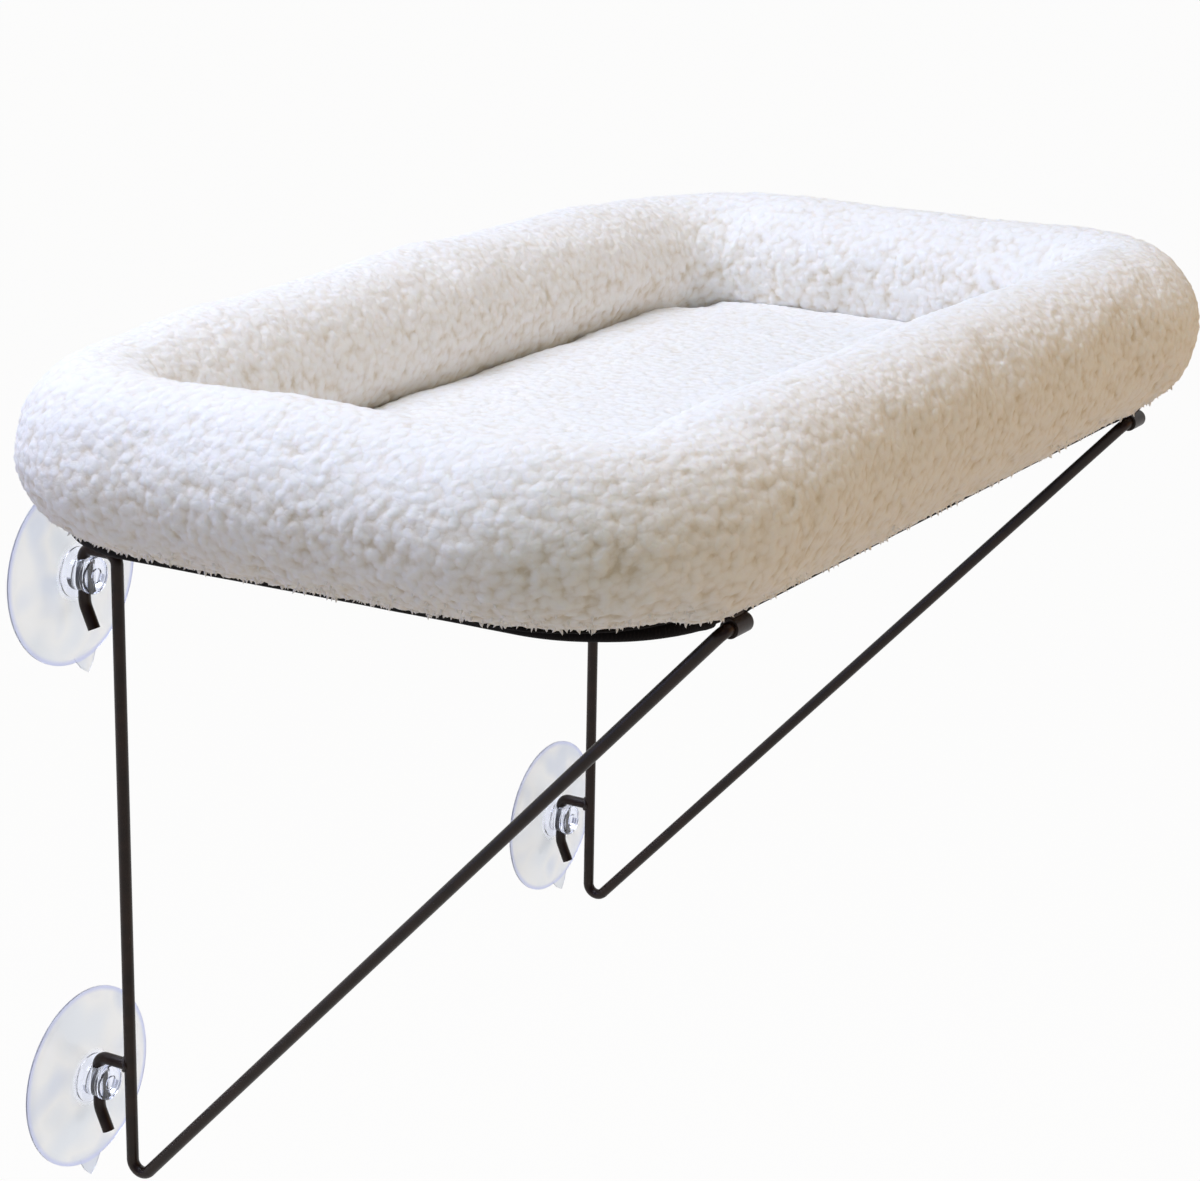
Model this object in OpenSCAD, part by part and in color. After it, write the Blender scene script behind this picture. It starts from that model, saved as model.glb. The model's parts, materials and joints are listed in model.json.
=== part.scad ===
// Window mounted cat perch. Two bent wire braces hang on suction cups and carry
// a wire platform with a canvas sling, and a bolster bed that lifts off.
// The glass is the plane Y = 0, the room lies towards -Y and Z points up.
// The origin is the middle of the four cups, on the glass.

/* [Braces] */
// Diameter of the bent frame wire
wire_d = 5.6; // [5.2:0.1:6]
// Distance between the two braces, centre to centre
brace_spacing = 404; // [340:1:420]
// Distance from the glass to the centre of an upright
glass_gap = 26; // [25:0.5:32]
// Reach from an upright to the front pivot
reach = 301; // [260:1:340]
// Height from the bottom corner of a brace up to its lower cup
foot_drop = 49; // [44:1:80]
// Height between the two cups on one brace
cup_spacing = 243; // [180:1:280]
// Bend radius at the bottom corner, on the centre line of the wire
foot_bend_r = 5.5; // [4:0.5:12]

/* [Hooks] */
// Distance from the glass to the upright pin that carries a cup
pin_gap = 7.2; // [7:0.1:7.8]
// Height of a hook's arm above the middle of its cup
arm_rise = 11.8; // [11.6:0.1:16]
// Bend radius of the arm, on the centre line
hook_bend_r = 5; // [4:0.1:6]
// Length of straight pin below the middle of the cup
pin_drop = 11.5; // [9:0.5:14]
// Bend radius of the tail, on the centre line
tail_bend_r = 10; // [6:0.5:14]
// Angle at which the tail leaves the pin
tail_angle = 24; // [15:1:40]
// Straight length at the end of the tail
tail_len = 10; // [6:0.5:14]

/* [Suction cups] */
// Diameter of a cup on the glass
cup_d = 85; // [70:1:90]
// Thickness of the lip at its edge
lip_t = 0.8; // [0.6:0.1:1.2]
// Width of the flat ring that lies on the glass
lip_w = 6; // [4:0.5:10]
// Depth of the hollow behind the lip
hollow_depth = 1.6; // [1:0.1:2]
// Height of the domed back above the glass
dome_h = 3; // [2.8:0.1:3.1]
// Diameter of the collar
collar_d = 23; // [20:0.5:26]
// Thickness of the collar
collar_t = 0.9; // [0.7:0.1:1]
// Diameter of the neck
neck_d = 15.6; // [14:0.1:16]
// Diameter of the knob
knob_d = 16.8; // [16.2:0.1:17]
// Thickness of the knob
knob_t = 3.4; // [3:0.1:4.5]
// Wall of the neck between the pin's hole and the knob
neck_wall = 0.8; // [0.7:0.1:1.4]
// Diameter of the ring groove in the knob's face
dimple_d = 6.4; // [5:0.1:8]
// Radial play of a cup on its pin
cup_play = 0.05; // [0.03:0.01:0.1]
// Length of the pull tab below the lip
tab_len = 7.5; // [5:0.5:12]
// Width of the pull tab at its root
tab_w = 16; // [10:0.5:20]

/* [Front pivots] */
// Bend radius between the diagonal and the pivot pin
pivot_bend_r = 4; // [3.5:0.1:5.5]
// Length of a pivot sleeve
sleeve_len = 12.5; // [11:0.5:16]
// Wall of a pivot sleeve
sleeve_wall = 1.3; // [1:0.05:1.8]
// Radial play of a pin in its sleeve
pivot_play = 0.05; // [0.03:0.01:0.1]
// Angle above the horizontal at which the front rail is welded to a sleeve
weld_angle = 58; // [50:1:80]

/* [Platform] */
// Width between the centre lines of the side rails
platform_w = 528; // [516:1:540]
// Corner radius of the rail, on its centre line
rail_corner_r = 58; // [44:1:60]
// Slope of the platform down towards the glass, in degrees
platform_tilt = 0.6; // [0:0.1:2]
// Height of the rear rail above the arms of the braces
saddle_rise = 21; // [17:0.5:24]
// Thickness of the saddles' steel strip
saddle_t = 1.6; // [1.2:0.1:2]
// Length of a saddle along the arm
saddle_len = 7; // [5:0.5:8]

/* [Sling] */
// Thickness of the canvas
canvas_t = 0.6; // [0.5:0.1:0.8]
// Sag of the canvas in the middle
sling_sag = 12; // [0:1:24]

/* [Bed] */
// Length of the bolster's centre line along the window
bed_w = 524; // [480:1:540]
// Depth of the bolster's centre line
bed_d = 276; // [250:1:282]
// Corner radius of the bolster's centre line
bed_corner_r = 59; // [54:1:80]
// Width of the bolster
bolster_w = 74; // [60:1:80]
// Height of the bolster
bolster_h = 73.5; // [60:0.5:90]
// Depth by which the bolster's underside is pressed flat
bolster_squash = 1.5; // [0.5:0.1:6]
// Thickness of the sherpa cover
cover_t = 5; // [4:0.5:7]
// Thickness of the padded base under the bolster
base_t = 4.6; // [1:0.1:8]
// Height of the floor cushion at its crown
cushion_h = 22; // [14:1:30]
// Sideways place of the bed on the platform
bed_shift = -9.5; // [-12:0.5:12]
// Distance of the bolster's front centre line behind the front rail
bed_setback = 1.5; // [0:0.5:9]

/* [Hidden] */
$fn = 48;

steel = "#241c1b";
clear_pvc = [0.86, 0.9, 0.97, 0.5];
canvas = "#1b1a1c";
sherpa = "#efeae6";
fibre = "#f7f5f0";

// How far a cut runs past the face that it leaves
overrun = 1;
// Length and height of the bands where a wire's straight parts meet its bends
band_len = 0.4;
band_step = 0.02;
// Share of a band's length by which the straight part stops short inside it
band_trim_share = 0.125;
// Depth to which a weld joins two wires
weld_bite = 0.4;
// Gap between soft pieces, and between the saddles and the arms
seat_gap = 0.3;
// Slack of a canvas channel round the rail
rail_slack = 0.2;
// Power that shapes a cup's dome from its lip to its collar
dome_power = 1.5;
// Degrees by which each cup's tab points sideways: upper left, upper right,
// lower left and lower right
tab_turns = [10, 5, 0, 14];
// Space that a channel leaves beside a sleeve or a saddle
notch_gap = 1;
// Space between the pivot bend and the sleeve
sleeve_gap = 0.4;
// How far the end of a pin stays inside its sleeve
pin_recess = 1;

// Braces
brace_x = brace_spacing / 2;
upper_cup_z = cup_spacing / 2;
lower_cup_z = -cup_spacing / 2;
arm_z = upper_cup_z + arm_rise;
foot_z = lower_cup_z - foot_drop;
upright_y = -glass_gap;
pin_y = -pin_gap;
bend_start = arm_rise - hook_bend_r;
pivot_y = upright_y - reach;

// How far the wire has leaned out of its pin's line where it leaves the knob
mouth_lean = hook_bend_r - sqrt(pow(hook_bend_r, 2) - pow(max(0, knob_d / 2 - bend_start), 2));

// Platform, in its own axes: the front pivots' line is its X axis
sleeve_r = wire_d / 2 + pivot_play + sleeve_wall;
rail_y = (sleeve_r + wire_d / 2 - weld_bite) * cos(weld_angle);
rail_z = (sleeve_r + wire_d / 2 - weld_bite) * sin(weld_angle);
rear_rail_y = (upright_y + pin_y) / 2;
rear_rail_z = arm_z + saddle_rise;
rear_y = (rear_rail_y - pivot_y - rail_z * sin(platform_tilt)) / cos(platform_tilt);
pivot_z = rear_rail_z + rear_y * sin(platform_tilt) - rail_z * cos(platform_tilt);
platform_d = rear_y - rail_y;
sleeve_start = pivot_bend_r + sleeve_gap;
platform_x = sleeve_start + sleeve_len / 2;
channel_r = wire_d / 2 + rail_slack + canvas_t;
pin_len = pivot_bend_r + sleeve_gap + sleeve_len - pin_recess;
riser_t = saddle_t * 2;

// Bed, in the platform's axes
base_z = rail_z + channel_r + seat_gap;
bolster_z = base_z + base_t + seat_gap;
bed_y = rail_y + bed_setback + bed_d / 2;
bolster_mid = bolster_z + (bolster_h - bolster_squash) / 2;
// Share by which the bolster narrows at its corners
corner_pinch_share = 0.05;
// Share of the bolster's height by which its crown rises on the straight sides
crown_share = 0.03;
// Share by which the bolster narrows towards its underside
underside_share = 0.08;
// Share of the bolster's half width that the floor cushion keeps clear of
cushion_inset_share = 0.72;
// Length by which the floor cushion's sides draw in between its corners
cushion_draw = bed_corner_r / 20;
// Shares of the cushion's plan and height, from its underside round to its crown
cushion_shares = [
    [0.3, 0], [0.7, 0], [0.95, 0], [0.99, 0.12], [1, 0.3],
    [0.985, 0.46], [0.94, 0.62], [0.84, 0.78], [0.68, 0.9], [0.48, 0.97], [0.24, 1]
];
// Shares of the sling's plan at which its sag is worked out
sling_shares = [0.12, 0.34, 0.55, 0.73, 0.87, 0.96, 1];

// Unit vector along v
function unit(v) = v / norm(v);

// Straight wire from p to q
module rod(p, q, d) {
    v = q - p;
    translate(p) rotate([0, acos(v.z / norm(v)), atan2(v.y, v.x)]) cylinder(h = norm(v), d = d);
}

// Bent wire at a corner, tangent to the way in and the way out
module elbow(corner, way_in, way_out, bend_r, d) {
    turn = acos(way_in * way_out);
    inward = unit(way_out - way_in * (way_in * way_out));
    axis = cross(way_in, inward);
    c = corner - way_in * bend_r * tan(turn / 2) + inward * bend_r;
    multmatrix([
        [-inward.x, way_in.x, axis.x, c.x],
        [-inward.y, way_in.y, axis.y, c.y],
        [-inward.z, way_in.z, axis.z, c.z],
        [0, 0, 0, 1]
    ]) rotate_extrude(angle = turn) translate([bend_r, 0]) circle(d = d);
}

// Wire through a list of corners, each with its own bend radius. Every straight
// part meets its bends inside short bands that are a hair wider than the wire.
module wire(corners, bends, d) {
    last = len(corners) - 1;
    ways = [for (i = [0:last - 1]) unit(corners[i + 1] - corners[i])];
    trims = [for (i = [0:last]) i == 0 || i == last ? 0
        : bends[i - 1] * tan(acos(ways[i - 1] * ways[i]) / 2)];
    for (i = [0:last - 1])
        straight(corners[i] + ways[i] * trims[i], corners[i + 1] - ways[i] * trims[i + 1],
            i > 0, i < last - 1, d);
    for (i = [1:last - 1])
        elbow(corners[i], ways[i - 1], ways[i], bends[i - 1], d);
}

// Straight part from p to q, with a band at each end that meets a bend
module straight(p, q, bend_before, bend_after, d) {
    way = unit(q - p) * band_len;
    rod(p + (bend_before ? way * band_trim_share : [0, 0, 0]),
        q - (bend_after ? way * band_trim_share : [0, 0, 0]), d);
    if (bend_before) rod(p - way / 2, p + way / 2, d + band_step * 2);
    if (bend_after) rod(q - way / 2, q + way / 2, d + band_step * 2);
}

// Corners of a hook's tail, pin and arm, in the plane of a brace at x
function hook_corners(x, cup_z) =
    let (
        lead = tail_bend_r * tan(tail_angle / 2),
        tail = [x, pin_y, cup_z - pin_drop - lead]
    ) [
        tail - [0, sin(tail_angle), cos(tail_angle)] * (lead + tail_len),
        tail,
        [x, pin_y, cup_z + arm_rise]
    ];

// One bent wire: hook, upright, bottom corner, diagonal and front pivot pin
module brace(x) {
    pivot = [x, pivot_y, pivot_z];
    color(steel) wire(
        concat(
            hook_corners(x, upper_cup_z),
            [[x, upright_y, arm_z], [x, upright_y, foot_z], pivot, pivot + [pin_len, 0, 0]]
        ),
        [tail_bend_r, hook_bend_r, hook_bend_r, foot_bend_r, pivot_bend_r], wire_d);
}

// Short hook welded to an upright
module lower_hook(x) {
    weld_y = upright_y + wire_d / 2 - weld_bite;
    color(steel) wire(
        concat(hook_corners(x, lower_cup_z), [[x, weld_y, lower_cup_z + arm_rise]]),
        [tail_bend_r, hook_bend_r], wire_d);
}

// Outline of a cup's back from its lip to its collar, as radius and height
function dome_points(steps) = [for (i = [0:steps])
    let (share = i / steps)
    [cup_d / 2 - (cup_d - collar_d) / 2 * share,
     lip_t + (dome_h - lip_t) * pow(sin(90 * share), dome_power)]];

// Points of a quarter round between two faces of the knob
function round_points(c, r, from, steps) = [for (i = [0:steps])
    [c.x + r * cos(from + 90 * i / steps), c.y + r * sin(from + 90 * i / steps)]];

// Clear suction cup on the glass at x, z, with a hole for the hook's pin that is
// wider at its mouth, where the wire starts to bend
module suction_cup(x, z, tab_turn) {
    collar_h = dome_h + collar_t;
    knob_h = pin_gap + wire_d / 2 + cup_play + neck_wall;
    edge_r = knob_t / 4;
    groove_r = edge_r / 2;
    hollow_r = cup_d / 2 - lip_w;
    outline = concat(
        [[0, hollow_depth], [collar_d / 2, hollow_depth], [hollow_r, 0], [cup_d / 2, 0]],
        dome_points(6),
        [[collar_d / 2, collar_h], [neck_d / 2, collar_h], [neck_d / 2, knob_h]],
        round_points([knob_d / 2 - edge_r, knob_h + edge_r], edge_r, -90, 3),
        round_points([knob_d / 2 - edge_r, knob_h + knob_t - edge_r], edge_r, 0, 3),
        [[dimple_d / 2 + groove_r, knob_h + knob_t],
         [dimple_d / 2, knob_h + knob_t - groove_r],
         [dimple_d / 2 - groove_r, knob_h + knob_t],
         [0, knob_h + knob_t]]);
    color(clear_pvc) translate([x, 0, z]) difference() {
        union() {
            rotate([90, 0, 0]) rotate_extrude($fn = 96) polygon(outline);
            rotate([0, -tab_turn, 0]) pull_tab();
        }
        translate([0, pin_y, -collar_d / 2]) cylinder(h = collar_d, r = wire_d / 2 + cup_play);
        translate([0, pin_y, bend_start - band_len])
            cylinder(h = collar_d, r = wire_d / 2 + cup_play * 2 + mouth_lean);
    }
}

// Pointed tab under the lip, a little off the glass
module pull_tab() {
    root_z = -cup_d / 2 + lip_w / 2;
    translate([0, -lip_t / 4, 0]) rotate([90, 0, 0]) linear_extrude(lip_t)
        polygon([
            [-tab_w / 2, root_z], [-tab_w / 4, -cup_d / 2 - tab_len / 2], [0, -cup_d / 2 - tab_len],
            [tab_w / 4, -cup_d / 2 - tab_len / 2], [tab_w / 2, root_z]
        ]);
}

// Places a child given in the platform's axes
module on_platform() {
    translate([0, pivot_y, pivot_z]) rotate([-platform_tilt, 0, 0]) children();
}

// Closed loop along the rail's centre line, of any thickness
module rail_loop(d) {
    corners = [
        [platform_x + platform_w / 2, rail_y, rail_z],
        [platform_x + platform_w / 2, rear_y, rail_z],
        [platform_x - platform_w / 2, rear_y, rail_z],
        [platform_x - platform_w / 2, rail_y, rail_z]
    ];
    for (k = [0:3]) {
        here = corners[k];
        next = corners[(k + 1) % 4];
        after = corners[(k + 2) % 4];
        way = unit(next - here);
        straight(here + way * rail_corner_r, next - way * rail_corner_r, true, true, d);
        elbow(next, way, unit(after - next), rail_corner_r, d);
    }
}

module platform_rail() {
    color(steel) on_platform() rail_loop(wire_d);
}

// Tube under the front rail that turns on a brace's pin
module pivot_sleeve(x) {
    start = x + sleeve_start;
    color(steel) on_platform() difference() {
        rod([start, 0, 0], [start + sleeve_len, 0, 0], sleeve_r * 2);
        rod([start - overrun, 0, 0], [start + sleeve_len + overrun, 0, 0],
            wire_d + pivot_play * 2);
    }
}

// Strip over a brace's arm, with a riser up to the rear rail
module saddle(x) {
    inner_r = wire_d / 2 + seat_gap;
    outer_r = inner_r + saddle_t;
    riser_h = saddle_rise - wire_d / 2 + weld_bite - inner_r;
    color(steel) translate([x, rear_rail_y, arm_z]) difference() {
        union() {
            translate([0, saddle_len / 2, 0]) rotate([90, 0, 0])
                cylinder(h = saddle_len, r = outer_r);
            translate([-riser_t / 2, -saddle_len / 2, inner_r]) cube([riser_t, saddle_len, riser_h]);
        }
        translate([0, saddle_len, 0]) rotate([90, 0, 0]) cylinder(h = saddle_len * 2, r = inner_r);
        translate([-outer_r * 2, -saddle_len, -outer_r * 2]) cube([outer_r * 4, saddle_len * 2, outer_r * 2]);
    }
}

// Where the channels stop: a sleeve's or a saddle's place along the rail
function sleeve_cut(x) =
    [x - wire_d / 2 - notch_gap, x + sleeve_start + sleeve_len + notch_gap];
function saddle_cut(x) = [x - riser_t / 2 - notch_gap, x + riser_t / 2 + notch_gap];

// Block round the front or the rear rail between two places along it
module rail_block(from, to, y) {
    translate([from, y - rail_corner_r / 2, rail_z - channel_r * 2])
        cube([to - from, rail_corner_r, channel_r * 4]);
}

// Canvas tube round the rail, between the blocks given as children
module channel() {
    color(canvas) on_platform() intersection() {
        difference() {
            rail_loop(channel_r * 2);
            rail_loop((wire_d / 2 + rail_slack) * 2);
        }
        children();
    }
}

module front_channel() {
    channel() rail_block(sleeve_cut(-brace_x)[1], sleeve_cut(brace_x)[0], rail_y);
}

module rear_channel() {
    channel() rail_block(saddle_cut(-brace_x)[1], saddle_cut(brace_x)[0], rear_y);
}

// Channel round one end of the rail, out to a sleeve and a saddle
module end_channel(front_x, rear_x, side) {
    far = side * platform_w;
    channel() union() {
        translate([min(front_x, far), rear_y / 2 - platform_d, rail_z - channel_r * 2])
            cube([abs(far - front_x), platform_d, channel_r * 4]);
        translate([min(rear_x, far), rear_y / 2, rail_z - channel_r * 2])
            cube([abs(far - rear_x), platform_d, channel_r * 4]);
    }
}

// Points round a rounded rectangle, counterclockwise from above. Each holds its
// place, its outward direction, its share of a corner and its share of a side.
function corner_point(k, share, a, b, r) =
    let (
        turn = 90 * (k + share),
        c = [(k == 0 || k == 3 ? 1 : -1) * (a - r), (k < 2 ? 1 : -1) * (b - r)]
    ) [c.x + r * cos(turn), c.y + r * sin(turn), cos(turn), sin(turn), sin(180 * share), 0];

function side_point(p, q, share) = [
    p.x + (q.x - p.x) * share, p.y + (q.y - p.y) * share, p[2], p[3], 0, sin(180 * share)
];

function outline_points(a, b, r, corner_steps, long_steps, short_steps) =
    [for (k = [0:3]) each concat(
        [for (i = [0:corner_steps]) corner_point(k, i / corner_steps, a, b, r)],
        let (
            p = corner_point(k, 1, a, b, r),
            q = corner_point((k + 1) % 4, 0, a, b, r),
            steps = k % 2 == 0 ? long_steps : short_steps
        ) [for (j = [1:steps - 1]) side_point(p, q, j / steps)])];

// Faces between rows of points that each run round a closed outline
function band_faces(rows, across) = [
    for (j = [0:rows - 2]) for (i = [0:across - 1])
        let (
            next = (i + 1) % across,
            a = j * across + i,
            b = j * across + next,
            c = (j + 1) * across + next,
            d = (j + 1) * across + i
        ) each [[a, d, c], [a, c, b]]];

// Stuffed tube along a closed outline, pressed flat where it rests
module stuffed_ring(outline, half_w, half_h, sides) {
    stations = len(outline);
    points = [for (k = [0:sides]) for (p = outline)
        let (
            turn = 360 * k / sides,
            pinch = (1 - corner_pinch_share * p[4]) * (1 - underside_share * max(0, -sin(turn))),
            w = half_w * pinch * cos(turn),
            rise = half_h * (1 + crown_share * p[5]) * sin(turn)
        ) [p.x + p[2] * w, p.y + p[3] * w, max(rise, bolster_squash - half_h)]];
    rows = sides + 1;
    polyhedron(
        [for (i = [0:stations * sides - 1]) points[i]],
        [for (f = band_faces(rows, stations)) [for (v = f) v % (stations * sides)]],
        convexity = 4);
}

// Closed form built up of scaled outlines, with a fan at each end
module stacked_form(outline, levels) {
    across = len(outline);
    rows = len(levels);
    bottom = across * rows;
    top = bottom + 1;
    polyhedron(
        concat(
            [for (l = levels) for (p = outline) [p.x * l.x, p.y * l.x, l.y]],
            [[0, 0, levels[0].y], [0, 0, levels[rows - 1].y]]),
        concat(
            band_faces(rows, across),
            [for (i = [0:across - 1]) [bottom, i, (i + 1) % across]],
            [for (i = [0:across - 1])
                [top, across * (rows - 1) + (i + 1) % across, across * (rows - 1) + i]]),
        convexity = 4);
}

// Canvas between the channels, sagging towards its middle
module sling_panel() {
    edge = channel_r + seat_gap;
    outline = outline_points(
        platform_w / 2 - edge, platform_d / 2 - edge, rail_corner_r - edge, 6, 6, 5);
    rows = len(sling_shares);
    sags = [for (s = sling_shares) sling_sag * (1 - s * s)];
    levels = concat(
        [for (j = [0:rows - 1]) [sling_shares[j], -sags[j] - canvas_t / 2]],
        [for (j = [rows - 1:-1:0]) [sling_shares[j], -sags[j] + canvas_t / 2]]);
    color(canvas) on_platform() translate([platform_x, rail_y + platform_d / 2, rail_z])
        stacked_form(outline, levels);
}

// Padded base under the bed, out to the bolster's centre line
module base_pad() {
    a = bed_w / 2;
    b = bed_d / 2;
    r = bed_corner_r;
    color(canvas) on_platform() translate([bed_shift, bed_y, base_z]) linear_extrude(base_t) {
        square([a * 2, (b - r) * 2], center = true);
        square([(a - r) * 2, b * 2], center = true);
        for (x = [-1, 1]) for (y = [-1, 1])
            translate([x * (a - r), y * (b - r)]) circle(r = r, $fn = 96);
    }
}

// Crowned cushion inside the bolster
module floor_cushion() {
    inset = bolster_w / 2 * cushion_inset_share + seat_gap;
    outline = outline_points(
        bed_w / 2 - inset, bed_d / 2 - inset, bed_corner_r - inset, 5, 6, 4);
    drawn = [for (p = outline)
        [p.x - p[2] * cushion_draw * p[5], p.y - p[3] * cushion_draw * p[5]]];
    color(sherpa) on_platform() translate([bed_shift, bed_y, bolster_z])
        stacked_form(drawn, [for (s = cushion_shares) [s.x, s.y * cushion_h]]);
}

// Outline that the bolster follows
function bolster_outline() = outline_points(bed_w / 2, bed_d / 2, bed_corner_r, 6, 5, 3);

// Stuffed ring whose surface lies this far inside the bolster's
module bolster_part(inset, sides) {
    on_platform() translate([bed_shift, bed_y, bolster_mid])
        stuffed_ring(bolster_outline(), bolster_w / 2 - inset,
            (bolster_h + bolster_squash) / 2 - inset, sides);
}

module bolster_cover() {
    color(sherpa) difference() {
        bolster_part(0, 18);
        bolster_part(cover_t, 10);
    }
}

module bolster_filling() {
    color(fibre) bolster_part(cover_t + seat_gap * 2, 10);
}

brace(-brace_x);  // left_brace
brace(brace_x);  // right_brace
lower_hook(-brace_x);  // left_lower_hook
lower_hook(brace_x);  // right_lower_hook
suction_cup(-brace_x, upper_cup_z, tab_turns[0]);  // upper_left_cup
suction_cup(brace_x, upper_cup_z, tab_turns[1]);  // upper_right_cup
suction_cup(-brace_x, lower_cup_z, tab_turns[2]);  // lower_left_cup
suction_cup(brace_x, lower_cup_z, tab_turns[3]);  // lower_right_cup
platform_rail();
pivot_sleeve(-brace_x);  // left_pivot_sleeve
pivot_sleeve(brace_x);  // right_pivot_sleeve
saddle(-brace_x);  // left_saddle
saddle(brace_x);  // right_saddle
front_channel();
rear_channel();
end_channel(sleeve_cut(-brace_x)[0], saddle_cut(-brace_x)[0], -1);  // left_channel
end_channel(sleeve_cut(brace_x)[1], saddle_cut(brace_x)[1], 1);  // right_channel
sling_panel();
base_pad();
floor_cushion();
bolster_cover();
bolster_filling();
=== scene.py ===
# Window mounted perch: bent wire braces on clear cups, a canvas platform and a sherpa bed.
import json
import math
import bpy
import numpy as np
from mathutils import Matrix, Vector


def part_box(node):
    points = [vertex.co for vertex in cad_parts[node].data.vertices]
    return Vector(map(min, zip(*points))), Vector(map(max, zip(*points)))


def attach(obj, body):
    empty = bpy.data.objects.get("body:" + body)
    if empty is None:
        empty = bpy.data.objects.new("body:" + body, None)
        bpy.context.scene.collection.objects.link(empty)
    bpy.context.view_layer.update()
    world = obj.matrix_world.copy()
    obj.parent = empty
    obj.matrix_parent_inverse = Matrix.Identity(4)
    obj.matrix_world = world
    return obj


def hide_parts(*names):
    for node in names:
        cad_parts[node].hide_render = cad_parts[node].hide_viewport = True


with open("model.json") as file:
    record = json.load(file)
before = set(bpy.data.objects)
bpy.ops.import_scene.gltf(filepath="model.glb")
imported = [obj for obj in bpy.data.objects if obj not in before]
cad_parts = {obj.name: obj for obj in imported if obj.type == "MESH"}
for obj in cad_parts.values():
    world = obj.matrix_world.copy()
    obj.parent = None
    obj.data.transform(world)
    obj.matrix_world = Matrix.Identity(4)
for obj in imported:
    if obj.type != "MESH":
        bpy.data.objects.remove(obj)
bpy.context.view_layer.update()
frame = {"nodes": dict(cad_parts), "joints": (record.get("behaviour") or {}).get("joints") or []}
print("frame loaded:", len(frame["nodes"]), "nodes")

mm = 0.001  # lengths in the settings are in mm, apart from the studio's, which are in metres
platformTilt = 0.6  # degrees down towards the rear
pivot = Vector(next(j["pos_m"] for j in frame["joints"] if j["name"] == "platform_tilt"))
platformToWorld = Matrix.Translation(pivot) @ Matrix.Rotation(math.radians(-platformTilt), 4, "X")
worldToPlatform = platformToWorld.inverted()

# Camera at the photograph's angle
view = {
    "place": (-1266.2, -905.3, 536.4),
    "azimuth": -59.197, "elevation": 16.937, "roll": 1.051,  # degrees
    "lens": 98.17, "sensor": 36,
    "farthest": 100,  # metres
}


def addCamera():
    data = bpy.data.cameras.new("photoCamera")
    data.lens = view["lens"]
    data.sensor_width = view["sensor"]
    data.clip_end = view["farthest"]
    camera = bpy.data.objects.new("photoCamera", data)
    bpy.context.scene.collection.objects.link(camera)
    turn = Matrix.Rotation(math.radians(view["azimuth"]), 4, "Z")
    turn = turn @ Matrix.Rotation(math.radians(90 - view["elevation"]), 4, "X")
    turn = turn @ Matrix.Rotation(math.radians(view["roll"]), 4, "Z")
    camera.matrix_world = Matrix.Translation(Vector(view["place"]) * mm) @ turn
    bpy.context.scene.camera = camera


addCamera()
print("camera placed")


# Colours and nodes
def toLinear(colour):  # from an sRGB hex code
    values = [int(colour[i:i + 2], 16) / 255 for i in (1, 3, 5)]
    return tuple(v / 12.92 if v <= 0.04045 else ((v + 0.055) / 1.055) ** 2.4 for v in values) + (1.0,)


def setInputs(node, inputs):  # to values, or to the outputs of other nodes
    for socket, value in inputs.items():
        if isinstance(value, bpy.types.NodeSocket):
            node.id_data.links.new(value, node.inputs[socket])
        else:
            node.inputs[socket].default_value = value


def addNode(tree, kind, output, inputs=None, stops=(), **settings):
    node = tree.nodes.new("ShaderNode" + kind)
    for name, value in settings.items():
        setattr(node, name, value)
    setInputs(node, inputs or {})
    for i, (position, colour) in enumerate(stops):
        elements = node.color_ramp.elements
        element = elements[i] if i < 2 else elements.new(position)
        element.position = position
        element.color = toLinear(colour)
    return node.outputs[output]


def newMaterial(name):
    material = bpy.data.materials.new(name)
    material.use_nodes = True
    return material, material.node_tree, material.node_tree.nodes["Principled BSDF"]


# Steel wire, powder coated in a brown black and baked. The eye gets a low satin shine that
# follows the bends over a fine orange peel, and a colour that is a little uneven.
wireFinish = {
    "colours": [(0.3, "#1b110b"), (0.7, "#2e1f17")],
    "roughness": (0.3, 0.46),
    "patch": 9.0, "peel": 0.7, "peelDepth": 0.05,
}


def coatedSteelWire():
    material, tree, shader = newMaterial("coatedSteelWire")
    place = addNode(tree, "TexCoord", "Object")
    patches = addNode(tree, "TexNoise", "Fac", {
        "Vector": place, "Scale": 1 / (wireFinish["patch"] * mm), "Detail": 4.0, "Roughness": 0.6})
    peel = addNode(tree, "TexNoise", "Fac", {"Vector": place, "Scale": 1 / (wireFinish["peel"] * mm)})
    low, high = wireFinish["roughness"]
    setInputs(shader, {
        "IOR": 1.5, "Specular IOR Level": 0.24,
        "Base Color": addNode(tree, "ValToRGB", "Color", {"Fac": patches}, wireFinish["colours"]),
        "Roughness": addNode(tree, "MapRange", "Result", {"Value": peel, "To Min": low, "To Max": high}),
        "Normal": addNode(tree, "Bump", "Normal", {
            "Height": peel, "Distance": wireFinish["peelDepth"] * mm, "Strength": 0.5}),
    })
    return material


# Steel weld bead under the same coat: rougher, and spotted with fine spatter.
weldFinish = {
    "colours": [(0.35, "#1a1310"), (0.7, "#34271f")],
    "roughness": (0.34, 0.55),
    "spatter": 1.1, "spatterDepth": 0.12,
}


def coatedWeld():
    material, tree, shader = newMaterial("coatedWeld")
    spatter = addNode(tree, "TexNoise", "Fac", {
        "Vector": addNode(tree, "TexCoord", "Object"), "Scale": 1 / (weldFinish["spatter"] * mm),
        "Detail": 3.0})
    low, high = weldFinish["roughness"]
    setInputs(shader, {
        "IOR": 1.5, "Specular IOR Level": 0.4,
        "Base Color": addNode(tree, "ValToRGB", "Color", {"Fac": spatter}, weldFinish["colours"]),
        "Roughness": addNode(tree, "MapRange", "Result", {
            "Value": spatter, "To Min": low, "To Max": high}),
        "Normal": addNode(tree, "Bump", "Normal", {
            "Height": spatter, "Distance": weldFinish["spatterDepth"] * mm, "Strength": 0.6}),
    })
    return material


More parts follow.
